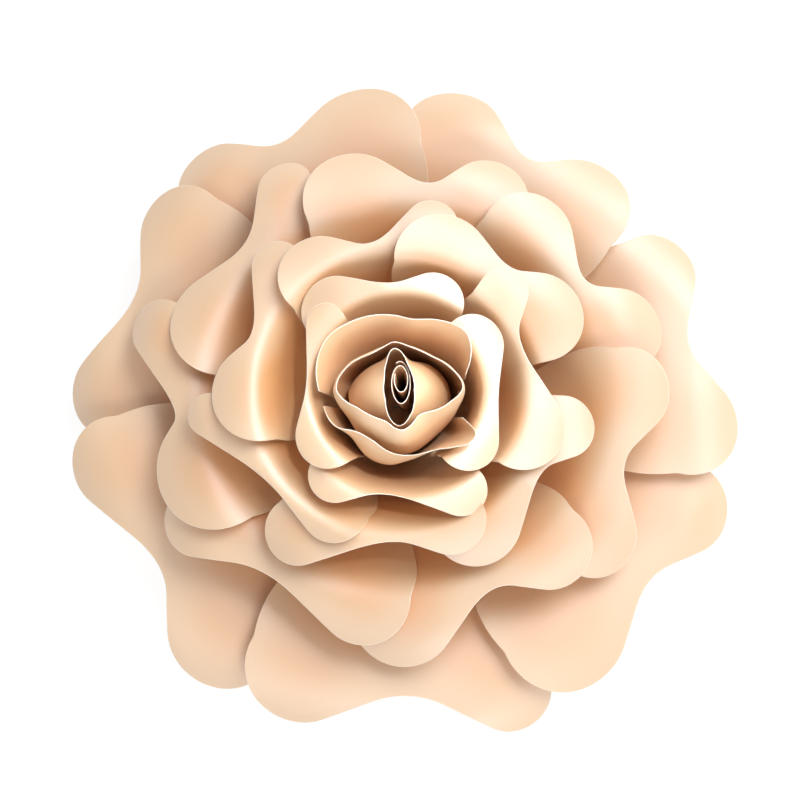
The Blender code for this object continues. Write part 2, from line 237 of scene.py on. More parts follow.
INNER_RING = Ring(
    foot_inner=0.012, foot_outer=0.036, bowl_share=1.0, bowl_height=0.117,
    fan=0.010, fan_ramp=0.008, tuck=0.002, roll_over=1.8, roll_under=3.2, lead_under=0.004,
    notch_round=0.45, shoulder=4,
    petals=(
        Petal(Lobe(129, 0.072, 0.024), Lobe(70, 0.065, 0.021), 96, 0.073, False, False),
        Petal(Lobe(32, 0.058, 0.021), Lobe(323, 0.057, 0.021), 358, 0.066, True, True),
        Petal(Lobe(301, 0.079, 0.018), Lobe(232, 0.073, 0.019), 261, 0.069, False, False),
        Petal(Lobe(212, 0.058, 0.023), Lobe(138, 0.070, 0.013), 178, 0.064, True, True),
    ))

BUD_UPPER = Wall(
    start=12, end=182, foot_inner=0.004, foot_outer=0.022, flare=0.6,
    belly=((12, 0.047), (45, 0.036), (95, 0.030), (140, 0.037), (182, 0.050)),
    belly_drop=0.009,
    rim=((12, 0.045), (22, 0.051), (32, 0.056), (42, 0.058), (59, 0.053), (79, 0.047), (94, 0.049),
         (127, 0.056), (145, 0.060), (164, 0.059), (182, 0.055)),
    rim_rise=((12, 0.017), (95, 0.019), (182, 0.015)), closed=False)

BUD_LOWER = Wall(
    start=192, end=335, foot_inner=0.004, foot_outer=0.022, flare=0.38,
    belly=((192, 0.043), (215, 0.051), (240, 0.064), (258, 0.062), (275, 0.053), (300, 0.045),
           (335, 0.039)),
    belly_drop=0.027,
    rim=((192, 0.054), (210, 0.051), (224, 0.042), (242, 0.040), (262, 0.044), (280, 0.046),
         (299, 0.048), (311, 0.054), (321, 0.060), (329, 0.059), (335, 0.046)),
    rim_rise=((192, 0.003), (200, 0.010), (220, 0.014), (262, 0.011), (300, 0.017), (318, 0.024),
              (328, 0.020), (335, 0.006)),
    closed=False)

WRAP_OUTER = Wall(
    start=0, end=360, foot_inner=0.014, foot_outer=0.019, flare=0.15,
    belly=((0, 0.050), (20, 0.046), (45, 0.038), (98, 0.036), (135, 0.044), (180, 0.056),
           (205, 0.056), (225, 0.060), (273, 0.060), (307, 0.054), (341, 0.052)),
    belly_drop=0.012,
    rim=((0, 0.042), (21, 0.036), (46, 0.029), (76, 0.0275), (98, 0.030), (115, 0.0285),
         (134, 0.030), (156, 0.037), (180, 0.043), (192, 0.039), (208, 0.031), (245, 0.025),
         (273, 0.029), (307, 0.023), (341, 0.034)),
    rim_rise=((0, 0.020), (98, 0.025), (180, 0.020), (273, 0.022)), closed=True)

WRAP_INNER = Wall(
    start=0, end=360, foot_inner=0.0092, foot_outer=0.0125, flare=0.15,
    belly=((0, 0.058), (45, 0.046), (75, 0.030), (98, 0.028), (120, 0.036), (150, 0.053),
           (180, 0.066), (215, 0.055), (245, 0.036), (268, 0.028), (300, 0.040), (330, 0.052)),
    belly_drop=0.019,
    rim=((8, 0.0095), (45, 0.0115), (71, 0.016), (98, 0.026), (121, 0.018), (150, 0.012),
         (186, 0.011), (220, 0.013), (237, 0.017), (268, 0.026), (290, 0.020), (312, 0.014),
         (340, 0.010)),
    rim_rise=((0, 0.019), (98, 0.023), (180, 0.021), (268, 0.019)), closed=True)

# The rolled strip in the middle: half-widths and middle of its inner and outer turns, where it starts,
# how far it stands above the inner ring's bowl, and how wide its foot is as a share of its top
ROLL_TURNS = 1.9
ROLL_INNER = (0.0040, 0.0064)
ROLL_OUTER = (0.0072, 0.0165)
ROLL_INNER_SHIFT = 0.0062
ROLL_OUTER_SHIFT = 0.0015
ROLL_START = 150
ROLL_RISE = 0.016
ROLL_FOOT_SHARE = 0.40

# What the soft boxes shine at, what the narrow lamp shines at, and the narrow lamp's own radius
FLOWER_MIDDLE = (0.0, 0.0, 0.05)
BUD_TOP = (0.0, 0.0, 0.12)
BUD_LAMP_RADIUS = 0.06

# The camera: its distance, where it stands from, and the point that it looks at
CAMERA_DISTANCE = 1.35
CAMERA_SIDE = (0.031, -0.098, 1.0)
CAMERA_AIM = (-0.0045, 0.00525, 0.0)
CAMERA_LENS = 81
CAMERA_SENSOR = 36


def polar(angle, reach):
    """The plan point at an angle in degrees and a distance from the flower's axis."""
    return (reach * math.cos(math.radians(angle)), reach * math.sin(math.radians(angle)))


def turn(angle, towards):
    """The signed turn in degrees from one direction to another, between -180 and 180."""
    return (towards - angle + 180) % 360 - 180


def ease(share):
    """A smooth step from 0 to 1."""
    share = min(max(share, 0.0), 1.0)
    return share * share * (3 - 2 * share)


def axis_of(petal):
    """The direction half way between a petal's two lobes."""
    return petal.right.angle + turn(petal.right.angle, petal.left.angle) / 2


def tangent_angle(lobe, point, outer_side):
    """The direction, from a lobe's centre, in which a line from an outside point touches its circle."""
    centre = polar(lobe.angle, lobe.reach)
    away = (point[0] - centre[0], point[1] - centre[1])
    distance = max(math.hypot(*away), lobe.radius * TOUCH_MIN)
    return math.degrees(math.atan2(away[1], away[0]) + outer_side * math.acos(lobe.radius / distance))


def lobe_arc(lobe, start, end, turning):
    """Points round a lobe from one direction to another, turning +1 or -1."""
    sweep = (turning * (end - start)) % 360
    centre = polar(lobe.angle, lobe.reach)
    points = []
    for step in range(LOBE_STEPS + 1):
        direction = math.radians(start + turning * sweep * step / LOBE_STEPS)
        points.append((centre[0] + lobe.radius * math.cos(direction),
                       centre[1] + lobe.radius * math.sin(direction)))
    return points


def rim_of(petal, notch_round):
    """The rim from the left flank round both lobes, and the notch between them, to the right flank."""
    notch = polar(petal.notch_angle, petal.notch_reach)
    left = lobe_arc(petal.left, tangent_angle(petal.left, AXIS, -1),
                    tangent_angle(petal.left, notch, 1), -1)
    right = lobe_arc(petal.right, tangent_angle(petal.right, notch, -1),
                     tangent_angle(petal.right, AXIS, 1), -1)
    start, end = left[-1], right[0]
    bend_in = [notch[i] + (start[i] - notch[i]) * notch_round for i in (0, 1)]
    bend_out = [notch[i] + (end[i] - notch[i]) * notch_round for i in (0, 1)]
    valley = []
    for step in range(NOTCH_STEPS + 1):
        t = step / NOTCH_STEPS
        weights = ((1 - t) ** 2, 2 * t * (1 - t), t * t)
        valley.append(tuple(weights[0] * bend_in[i] + weights[1] * notch[i] + weights[2] * bend_out[i]
                            for i in (0, 1)))
    return left + valley + right


def spaced(points, count, lip_at_start=False):
    """The same line at even distances, and one more point a lip's width in from its end, or from both."""
    lengths = [0.0]
    for before, after in zip(points, points[1:]):
        lengths.append(lengths[-1] + math.dist(before, after))
    total = lengths[-1]
    wanted = [total * step / count for step in range(count)] + [total - LIP, total]
    if lip_at_start:
        wanted.insert(1, LIP)
    found = []
    place = 0
    for distance in wanted:
        while place < len(points) - 2 and lengths[place + 1] < distance:
            place += 1
        span = lengths[place + 1] - lengths[place]
        share = min((distance - lengths[place]) / span, 1.0) if span else 0.0
        found.append(tuple(a + (b - a) * share for a, b in zip(points[place], points[place + 1])))
    return found


def roll_drop(lobe, point, ring, outward, over):
    """How far a rolled lobe falls at a plan point, the lobe's card bent round a cylinder."""
    radius = lobe.radius * (ring.roll_over if over else ring.roll_under)
    direction = math.radians(lobe.angle + outward * (ROLL_SKEW_OVER if over else ROLL_SKEW_UNDER))
    centre = polar(lobe.angle, lobe.reach - (0 if over else ring.lead_under))
    past = (point[0] - centre[0]) * math.cos(direction) + (point[1] - centre[1]) * math.sin(direction)
    if past <= 0:
        return 0.0
    steepest = math.radians(ROLL_LIMIT)
    bent = min(past, radius * math.sin(steepest))
    return radius - math.sqrt(radius * radius - bent * bent) + (past - bent) * math.tan(steepest)


def petal_height(petal, ring, spaces, point):
    """How high the petal stands above its own foot at a plan point."""
    reach = math.hypot(*point)
    across = turn(axis_of(petal), math.degrees(math.atan2(point[1], point[0])))
    if across > 0:
        side = (1 if petal.left_over else -1) * across / spaces[0]
    else:
        side = (1 if petal.right_over else -1) * -across / spaces[1]
    side *= ease((reach - ring.foot_outer) / ring.fan_ramp)
    bowl = ring.bowl_share * (petal.left.reach + petal.right.reach) / 2 - ring.foot_outer
    climb = (reach + ring.tuck * side - ring.foot_outer) / bowl
    rolled = roll_drop(petal.left, point, ring, 1, petal.left_over)
    rolled += roll_drop(petal.right, point, ring, -1, petal.right_over)
    return ring.bowl_height * ease(climb) + ring.fan * side - rolled


def petal_grid(petal, ring, spaces, level, columns, rows):
    """Rows of points from the foot to the rim, one list for each column."""
    axis = axis_of(petal)
    foot_left = spaces[0] / 2 * FOOT_FILL
    foot_right = spaces[1] / 2 * FOOT_FILL
    rim = spaced(rim_of(petal, ring.notch_round), columns, lip_at_start=True)
    flank_end = min(math.hypot(*rim[0]), math.hypot(*rim[-1]))
    grid = []
    for column, end in enumerate(rim):
        place = column / (len(rim) - 1)
        across = foot_left - (foot_left + foot_right) * place
        shoulder = ring.shoulder * (1 - 2 * place)
        reach = math.hypot(*end)
        swing = turn(axis + across, math.degrees(math.atan2(end[1], end[0])))
        line = []
        for step in range(PROFILE_STEPS + 1):
            out = ring.foot_outer + (reach - ring.foot_outer) * step / PROFILE_STEPS
            along = min((out - ring.foot_outer) / (flank_end - ring.foot_outer), 1)
            bulge = shoulder * 4 * along * (1 - along)
            angle = axis + across + swing * ease(along / OPEN_SHARE) + bulge
            point = polar(angle, out)
            line.append((point[0], point[1], level + petal_height(petal, ring, spaces, point)))
        grid.append([(*polar(axis + across, ring.foot_inner), level)] + spaced(line, rows - 1))
    return grid


def spaces_of(ring, index):
    """The angles from a petal's axis to those of its left and right neighbours."""
    axis = axis_of(ring.petals[index])
    before = axis_of(ring.petals[index - 1])
    after = axis_of(ring.petals[(index + 1) % len(ring.petals)])
    return (turn(axis, before) % 360, turn(after, axis) % 360)


def value_at(table, angle, closed):
    """A smooth value through (angle, value) pairs, round the whole circle if the table is closed."""
    entries = list(table)
    if closed:
        entries.insert(0, (table[-1][0] - 360, table[-1][1]))
        entries += [(a + 360, v) for a, v in table[:2]]
        angle = angle % 360
    place = 0
    while place < len(entries) - 2 and entries[place + 1][0] < angle:
        place += 1
    (a0, v0), (a1, v1) = entries[place], entries[place + 1]
    share = min(max((angle - a0) / (a1 - a0), 0), 1)
    before = entries[max(place - 1, 0)]
    after = entries[min(place + 2, len(entries) - 1)]
    slope0 = (v1 - before[1]) / (a1 - before[0]) * (a1 - a0)
    slope1 = (after[1] - v0) / (after[0] - a0) * (a1 - a0)
    cubic = 2 * (v0 - v1) + slope0 + slope1
    square = 3 * (v1 - v0) - 2 * slope0 - slope1
    return ((cubic * share + square) * share + slope0) * share + v0


def bezier(points, t):
    """A point on the cubic curve with four control points."""
    weights = ((1 - t) ** 3, 3 * t * (1 - t) ** 2, 3 * t * t * (1 - t), t ** 3)
    return tuple(sum(w * p[i] for w, p in zip(weights, points)) for i in range(len(points[0])))


def wall_grid(wall, level, columns, rows):
    """Rows of points from the foot up the barrel to the rim, one list for each column."""
    grid = []
    belly_height = INNER_RING.bowl_height - wall.belly_drop
    for column in range(columns if wall.closed else columns + 1):
        angle = wall.start + (wall.end - wall.start) * column / columns
        belly = value_at(wall.belly, angle, wall.closed)
        rim = value_at(wall.rim, angle, wall.closed)
        top = INNER_RING.bowl_height + value_at(wall.rim_rise, angle, wall.closed)
        lower = wall.foot_outer + (belly - wall.foot_outer) * wall.flare
        curve = ((wall.foot_outer, 0), (lower, 0), (belly, belly_height), (rim, top))
        line = []
        for step in range(PROFILE_STEPS + 1):
            out, height = bezier(curve, step / PROFILE_STEPS)
            line.append((*polar(angle, out), level + height))
        grid.append([(*polar(angle, wall.foot_inner), level)] + spaced(line, rows - 1))
    return grid


def roll_grid(level, columns, rows):
    """The rolled strip: turns that widen outwards and narrow towards the foot."""
    grid = []
    for column in range(columns + 1):
        share = column / columns
        angle = math.radians(ROLL_START + 360 * ROLL_TURNS * share)
        half = [ROLL_INNER[i] + (ROLL_OUTER[i] - ROLL_INNER[i]) * share for i in (0, 1)]
        shift = ROLL_INNER_SHIFT + (ROLL_OUTER_SHIFT - ROLL_INNER_SHIFT) * share
        line = []
        for row in range(rows + 1):
            up = row / rows
            scale = ROLL_FOOT_SHARE + (1 - ROLL_FOOT_SHARE) * up
            line.append((half[0] * math.cos(angle) * scale,
                         (half[1] * math.sin(angle) + shift) * scale,
                         level + (INNER_RING.bowl_height + ROLL_RISE) * up))
        grid.append(spaced(line, rows))
    return grid


def foot_level(layer):
    """The height of the middle of the card in the feet of one layer of the stack."""
    card = bpy.context.scene.paper_flower.card
    base_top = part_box("base_disc")[1].z
    return base_top + GLUE_GAP + card / 2 + layer * (card + GLUE_GAP)


def new_group(name, inputs, outputs):
    """A shader node group with float inputs and the named outputs, still without nodes."""
    group = bpy.data.node_groups.new(name, "ShaderNodeTree")
    for label, default in inputs:
        socket = group.interface.new_socket(label, in_out="INPUT", socket_type="NodeSocketFloat")
        socket.default_value = default
    for label, kind in outputs:
        group.interface.new_socket(label, in_out="OUTPUT", socket_type=kind)
    return group


def add_node(tree, kind, **values):
    """A node whose attributes are set by name."""
    node = tree.nodes.new(kind)
    for key, value in values.items():
        setattr(node, key, value)
    return node


def blend_colour(tree, factor, first, second):
    """The mix of two colours, each a socket or a plain colour."""
    mix = add_node(tree, "ShaderNodeMix", data_type="RGBA")
    tree.links.new(factor, mix.inputs["Factor"])
    for place, value in zip(MIX_COLOURS, (first, second)):
        if isinstance(value, bpy.types.NodeSocket):
            tree.links.new(value, mix.inputs[place])
        else:
            mix.inputs[place].default_value = value
    return mix.outputs[MIX_RESULT]


def add_relief(tree, height, strength, depth):
    """Fibres that stand out of the material's surface."""
    bump = tree.nodes.new("ShaderNodeBump")
    bump.inputs["Strength"].default_value = strength
    bump.inputs["Distance"].default_value = depth
    tree.links.new(height, bump.inputs["Height"])
    tree.links.new(bump.outputs["Normal"], tree.nodes["Principled BSDF"].inputs["Normal"])


def card_grain_group():
    """Fine felt fibres of a sheet of card."""
    if "card_grain" in bpy.data.node_groups:
        return bpy.data.node_groups["card_grain"]
    group = new_group("card_grain", (("Fibre Scale", CARD_FIBRE_SCALE),),
                      (("Fibre", "NodeSocketFloat"),))
    source = group.nodes.new("NodeGroupInput")
    target = group.nodes.new("NodeGroupOutput")
    place = group.nodes.new("ShaderNodeTexCoord")
    grain = group.nodes.new("ShaderNodeTexNoise")
    grain.inputs["Detail"].default_value = FIBRE_DETAIL
    group.links.new(place.outputs["Object"], grain.inputs["Vector"])
    group.links.new(source.outputs["Fibre Scale"], grain.inputs["Scale"])
    group.links.new(grain.outputs["Fac"], target.inputs["Fibre"])
    return group


def cut_core_highlight_group():
    """A mask of the pale band along every cut edge: the card's paler cut core, and a painted highlight of
    its lit lip.
    """
    if "cut_core_and_highlight" in bpy.data.node_groups:
        return bpy.data.node_groups["cut_core_and_highlight"]
    group = new_group("cut_core_and_highlight", (("Width", LIP),), (("Mask", "NodeSocketFloat"),))
    source = group.nodes.new("NodeGroupInput")
    target = group.nodes.new("NodeGroupOutput")
    distance = add_node(group, "ShaderNodeAttribute", attribute_name="rim_distance")
    fade = add_node(group, "ShaderNodeMapRange", interpolation_type="SMOOTHSTEP")
    group.links.new(distance.outputs["Fac"], fade.inputs["Value"])
    group.links.new(source.outputs["Width"], fade.inputs["From Max"])
    fade.inputs["To Min"].default_value = 1.0
    fade.inputs["To Max"].default_value = 0.0
    group.links.new(fade.outputs["Result"], target.inputs["Mask"])
    return group


def petal_material():
    """Pearl card: peach, with painted shade that darkens it towards the foot, felt fibres, a soft sheen,
    and pale cut edges that carry a painted highlight.
    """
    if "pearl_card" in bpy.data.materials:
        return bpy.data.materials["pearl_card"]
    settings = bpy.context.scene.paper_flower
    material = bpy.data.materials.new("pearl_card")
    material.use_nodes = True
    tree = material.node_tree
    shader = tree.nodes["Principled BSDF"]
    grain = add_node(tree, "ShaderNodeGroup", node_tree=card_grain_group())
    edge = add_node(tree, "ShaderNodeGroup", node_tree=cut_core_highlight_group())
    edge.inputs["Width"].default_value = LIP
    # Painted shade: the card's colour darkens towards the foot by each point's painted shade value
    depth = add_node(tree, "ShaderNodeAttribute", attribute_name="painted_shade")
    face = blend_colour(tree, depth.outputs["Fac"], settings.petal_light, settings.petal_painted_shade)
    speck = add_node(tree, "ShaderNodeMapRange")
    tree.links.new(grain.outputs["Fibre"], speck.inputs["Value"])
    speck.inputs["To Max"].default_value = settings.fibre_tone
    fibred = blend_colour(tree, speck.outputs["Result"], face, settings.fibre_colour)
    # Pale band along every cut edge: the card's paler core, and a painted highlight of its lit lip
    whole = blend_colour(tree, edge.outputs["Mask"], fibred, settings.core_and_highlight_colour)
    tree.links.new(whole, shader.inputs["Base Color"])
    add_relief(tree, grain.outputs["Fibre"], CARD_RELIEF, CARD_FIBRE_DEPTH)
    shader.inputs["Roughness"].default_value = settings.petal_roughness
    shader.inputs["IOR"].default_value = PEARL_IOR
    shader.inputs["Specular IOR Level"].default_value = PEARL_LEVEL
    shader.inputs["Specular Tint"].default_value = settings.pearl_tint
    return material


def board_material():
    """Plain greyboard with a felt surface."""
    settings = bpy.context.scene.paper_flower
    material = bpy.data.materials.new("greyboard")
    material.use_nodes = True
    tree = material.node_tree
    shader = tree.nodes["Principled BSDF"]
    grain = add_node(tree, "ShaderNodeGroup", node_tree=card_grain_group())
    grain.inputs["Fibre Scale"].default_value = BOARD_FIBRE_SCALE
    face = blend_colour(tree, grain.outputs["Fibre"], settings.board_deep, settings.board_light)
    tree.links.new(face, shader.inputs["Base Color"])
    add_relief(tree, grain.outputs["Fibre"], BOARD_RELIEF, BOARD_FIBRE_DEPTH)
    shader.inputs["Roughness"].default_value = BOARD_ROUGHNESS
    return material


def rim_distances(grid, closed):
    """For every point of a grid, how far it lies from the nearest cut edge."""
    distances = []
    for column, line in enumerate(grid):
        inwards = line[::-1]
        from_rim = [0.0]
        for before, after in zip(inwards, inwards[1:]):
            from_rim.append(from_rim[-1] + math.dist(before, after))
        for row, point in enumerate(line):
            nearest = from_rim[-1 - row]
            if not closed:
                nearest = min(nearest, math.dist(point, grid[0][row]), math.dist(point, grid[-1][row]))
            distances.append(nearest)
    return distances


def add_sheet(name, grid, shade, closed=False):
    """A piece of card from a grid of points on its middle surface, for the node that it replaces."""
    settings = bpy.context.scene.paper_flower
    rows = len(grid[0])
    columns = len(grid)
    faces = []
    for column in range(columns if closed else columns - 1):
        beside = (column + 1) % columns
        for row in range(rows - 1):
            here = column * rows + row
            there = beside * rows + row
            faces.append((here, here + 1, there + 1, there))
    mesh = bpy.data.meshes.new(name + "_sheet")
    mesh.from_pydata([point for line in grid for point in line], [], faces)
    mesh.shade_smooth()
    distances = rim_distances(grid, closed)
    # Painted shade: each point darkens with its distance in from the rims, by the sheet's share of shade
    span = SHADE_END - SHADE_START
    painted_shades = [shade * ease((distance - SHADE_START) / span) for distance in distances]
    for label, values in (("rim_distance", distances), ("painted_shade", painted_shades)):
        attribute = mesh.attributes.new(label, "FLOAT", "POINT")
        attribute.data.foreach_set("value", values)
    mesh.materials.append(petal_material())
    sheet = bpy.data.objects.new(name + "_sheet", mesh)
    bpy.context.scene.collection.objects.link(sheet)
    card = sheet.modifiers.new("card", "SOLIDIFY")
    card.thickness = settings.card
    card.offset = 0.0
    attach(sheet, BODY)
    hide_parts(name)


def add_ring(name, ring, layer, shade):
    """Every petal of one ring."""
    settings = bpy.context.scene.paper_flower
    for index, petal in enumerate(ring.petals):
        grid = petal_grid(petal, ring, spaces_of(ring, index), foot_level(layer),
                          settings.petal_columns, settings.petal_rows)
        add_sheet(f"{name}_{index + 1}", grid, shade)


def add_wall(name, wall, layer):
    """One cupped petal or wrap of the bud."""
    settings = bpy.context.scene.paper_flower
    grid = wall_grid(wall, foot_level(layer), settings.bud_columns, settings.bud_rows)
    add_sheet(name, grid, BUD_SHADE, wall.closed)


def aimed(location, target):
    """The placing of a lamp that shines from a location at a target."""
    towards = Vector(target) - Vector(location)
    return Matrix.Translation(location) @ towards.to_track_quat("-Z", "Y").to_matrix().to_4x4()


def add_soft_box(name, location, size, power):
    """A square soft box that shines at the flower's middle."""
    light = bpy.data.lights.new(name, "AREA")
    light.size = size
    light.energy = power
    lamp = bpy.data.objects.new(name, light)
    bpy.context.scene.collection.objects.link(lamp)
    lamp.matrix_world = aimed(location, FLOWER_MIDDLE)


def add_bud_lamp(settings):
    """A narrow lamp that reaches into the bud."""
    light = bpy.data.lights.new("bud_lamp", "SPOT")
    light.energy = settings.bud_power
    light.spot_size = settings.bud_spread
    light.spot_blend = 1.0
    light.shadow_soft_size = BUD_LAMP_RADIUS
    lamp = bpy.data.objects.new("bud_lamp", light)
    bpy.context.scene.collection.objects.link(lamp)
    lamp.matrix_world = aimed(settings.bud_place, BUD_TOP)


def add_floor(settings):
    """A white floor that shows only part of its shadow to the camera."""
    bpy.ops.mesh.primitive_plane_add(size=settings.floor_size, location=(0, 0, CAD_BOX[0][2]))
    floor = bpy.context.object
    floor.name = "floor"
    material = bpy.data.materials.new("floor")
    material.use_nodes = True
    tree = material.node_tree
    plain = tree.nodes["Principled BSDF"]
    plain.inputs["Base Color"].default_value = settings.floor_colour
    plain.inputs["Roughness"].default_value = FLOOR_ROUGHNESS
    white = tree.nodes.new("ShaderNodeEmission")
    white.inputs["Strength"].default_value = settings.floor_glow
    path = tree.nodes.new("ShaderNodeLightPath")
    mirrored = add_node(tree, "ShaderNodeMath", operation="MAXIMUM")
    tree.links.new(path.outputs["Is Glossy Ray"], mirrored.inputs[0])
    tree.links.new(path.outputs["Is Transmission Ray"], mirrored.inputs[1])
    seen = add_node(tree, "ShaderNodeMath", operation="MAXIMUM")
    tree.links.new(path.outputs["Is Camera Ray"], seen.inputs[0])
    tree.links.new(mirrored.outputs[0], seen.inputs[1])
    share = add_node(tree, "ShaderNodeMath", operation="MULTIPLY")
    tree.links.new(seen.outputs[0], share.inputs[0])
    share.inputs[1].default_value = 1 - settings.floor_shadow
    mix = tree.nodes.new("ShaderNodeMixShader")
    tree.links.new(share.outputs[0], mix.inputs["Fac"])
    tree.links.new(plain.outputs[0], mix.inputs[1])
    tree.links.new(white.outputs[0], mix.inputs[2])
    tree.links.new(mix.outputs[0], tree.nodes["Material Output"].inputs["Surface"])
    floor.data.materials.append(material)


def add_surroundings(settings):
    """A white room, white all round and dimmer overhead."""
    world = bpy.data.worlds.new("surroundings")
    bpy.context.scene.world = world
    world.use_nodes = True
    tree = world.node_tree
    background = tree.nodes["Background"]
    background.inputs["Color"].default_value = (1, 1, 1, 1)
    direction = tree.nodes.new("ShaderNodeTexCoord")
    height = tree.nodes.new("ShaderNodeSeparateXYZ")
    tree.links.new(direction.outputs["Generated"], height.inputs["Vector"])
    strength = add_node(tree, "ShaderNodeMapRange", interpolation_type="SMOOTHSTEP")
    tree.links.new(height.outputs["Z"], strength.inputs["Value"])
    strength.inputs["From Min"].default_value = settings.wall_top
    strength.inputs["From Max"].default_value = settings.ceiling_edge
    strength.inputs["To Min"].default_value = 1.0
    strength.inputs["To Max"].default_value = settings.ceiling
    tree.links.new(strength.outputs["Result"], background.inputs["Strength"])


def add_camera():
    """The photograph's view, almost straight down on the flower."""
    camera = bpy.data.cameras.new("camera")
    camera.lens = CAMERA_LENS
    camera.sensor_width = CAMERA_SENSOR
    holder = bpy.data.objects.new("camera", camera)
    bpy.context.scene.collection.objects.link(holder)
    back = Vector(CAMERA_SIDE).normalized()
    right = Vector((0, 1, 0)).cross(back).normalized()
    up = back.cross(right)
    place = Vector(CAMERA_AIM) + back * CAMERA_DISTANCE
    holder.matrix_world = Matrix.Translation(place) @ Matrix((right, up, back)).transposed().to_4x4()
    bpy.context.scene.camera = holder


class FlowerSettings(bpy.types.PropertyGroup):
    """Sizes and colours of the flower."""
    card: FloatProperty(
        name="Card", description="Thickness of the petals' card",
        default=0.0004, min=0.0001, unit="LENGTH")
    petal_columns: IntProperty(
        name="Petal Columns", description="Faces across each petal", default=72, min=8)
    petal_rows: IntProperty(
        name="Petal Rows", description="Faces from foot to rim of each petal", default=40, min=4)
    bud_columns: IntProperty(
        name="Bud Columns", description="Faces round each petal of the bud", default=120, min=12)
    bud_rows: IntProperty(
        name="Bud Rows", description="Faces up each petal of the bud", default=36, min=4)
    petal_light: FloatVectorProperty(
        name="Petal Light", description="Colour of the card near the rims",
        default=(0.735, 0.485, 0.255, 1.0), size=4, subtype="COLOR", min=0, max=1)
    # Painted shade: the colour that the card is darkened to near the foot
    petal_painted_shade: FloatVectorProperty(
        name="Petal Painted Shade", description="Colour of the card near the foot",
        default=(0.745, 0.365, 0.115, 1.0), size=4, subtype="COLOR", min=0, max=1)
    fibre_colour: FloatVectorProperty(
        name="Fibres", description="Pale fibres in the card",
        default=(0.86, 0.6, 0.38, 1.0), size=4, subtype="COLOR", min=0, max=1)
    fibre_tone: FloatProperty(
        name="Fibre Tone", description="How strongly the fibres show",
        default=0.06, min=0, max=1, subtype="FACTOR")
    # Colour of the pale band along cut edges: the card's paler core, and a painted highlight of its lit
    # lip
    core_and_highlight_colour: FloatVectorProperty(
        name="Cut Edge and Highlight", description="Core of the card along its cut edges",
        default=(1.0, 0.90, 0.75, 1.0), size=4, subtype="COLOR", min=0, max=1)
    pearl_tint: FloatVectorProperty(
        name="Pearl Tint", description="Tint of the card's sheen",
        default=(0.90, 0.90, 1.0, 1.0), size=4, subtype="COLOR", min=0, max=1)
    petal_roughness: FloatProperty(
        name="Petal Roughness", description="Roughness of the petals' card",
        default=0.57, min=0, max=1, subtype="FACTOR")
    board_light: FloatVectorProperty(
        name="Board Light", description="Lighter fibres of the base",
        default=(0.72, 0.63, 0.50, 1.0), size=4, subtype="COLOR", min=0, max=1)
    board_deep: FloatVectorProperty(
        name="Board Deep", description="Deeper fibres of the base",
        default=(0.60, 0.51, 0.39, 1.0), size=4, subtype="COLOR", min=0, max=1)


class StageSettings(bpy.types.PropertyGroup):
    """Floor and light."""
    floor_size: FloatProperty(
        name="Floor", description="Side of the square floor", default=6.0, min=1, unit="LENGTH")
    floor_colour: FloatVectorProperty(
        name="Floor Colour", description="Colour of the floor",
        default=(0.9, 0.9, 0.9, 1.0), size=4, subtype="COLOR", min=0, max=1)
    floor_shadow: FloatProperty(
        name="Floor Shadow", description="How much of the floor's shadow shows",
        default=0.2, min=0, max=1, subtype="FACTOR")
    floor_glow: FloatProperty(
        name="Floor White", description="Strength of the floor's white", default=1.1, min=0)
    key_power: FloatProperty(
        name="Key", description="Power of the soft box at the upper right",
        default=40, min=0, unit="POWER")
    key_place: FloatVectorProperty(
        name="Key Place", description="Where the soft box at the upper right hangs",
        default=(1.0, 1.0, 1.65), size=3, subtype="TRANSLATION")
    key_size: FloatProperty(
        name="Key Size", description="Side of the soft box at the upper right",
        default=1.4, min=0.1, unit="LENGTH")
    fill_power: FloatProperty(
        name="Fill", description="Power of the soft box at the lower right",
        default=14, min=0, unit="POWER")
    fill_place: FloatVectorProperty(
        name="Fill Place", description="Where the soft box at the lower right hangs",
        default=(0.3, -1.45, 1.3), size=3, subtype="TRANSLATION")
    fill_size: FloatProperty(
        name="Fill Size", description="Side of the soft box at the lower right",
        default=1.0, min=0.1, unit="LENGTH")
    bud_power: FloatProperty(
        name="Bud", description="Power of the narrow lamp on the bud",
        default=100, min=0, unit="POWER")
    bud_place: FloatVectorProperty(
        name="Bud Place", description="Where the narrow lamp on the bud hangs",
        default=(0.3, 0.25, 1.4), size=3, subtype="TRANSLATION")
    bud_spread: FloatProperty(
        name="Bud Spread", description="Full angle of the narrow lamp's cone",
        default=0.13, min=0.02, max=3, unit="ROTATION")
    ceiling: FloatProperty(
        name="Ceiling", description="Strength of the light from straight above", default=0.46, min=0)
    wall_top: FloatProperty(
        name="Wall Top", description="Height up to which the surroundings are white, from -1 to 1",
        default=0.1, min=-1, max=1)
    ceiling_edge: FloatProperty(
        name="Ceiling Edge", description="Height at which the ceiling begins, from -1 to 1",
        default=0.7, min=-1, max=1)


class FLOWER_OT_base(bpy.types.Operator):
    """Give the round base its greyboard"""
    bl_idname = "flower.base"
    bl_label = "Base"

    def execute(self, context):
        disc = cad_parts["base_disc"]
        disc.data.materials.clear()
        disc.data.materials.append(board_material())
        return {"FINISHED"}


class FLOWER_OT_outer_ring(bpy.types.Operator):
    """Make the outer ring of petals"""
    bl_idname = "flower.outer_ring"
    bl_label = "Outer Ring"

    def execute(self, context):
        add_ring("outer_petal", OUTER_RING, OUTER_LAYER, OUTER_SHADE)
        return {"FINISHED"}


class FLOWER_OT_second_ring(bpy.types.Operator):
    """Make the second ring of petals"""
    bl_idname = "flower.second_ring"
    bl_label = "Second Ring"

    def execute(self, context):
        add_ring("second_petal", SECOND_RING, SECOND_LAYER, SECOND_SHADE)
        return {"FINISHED"}


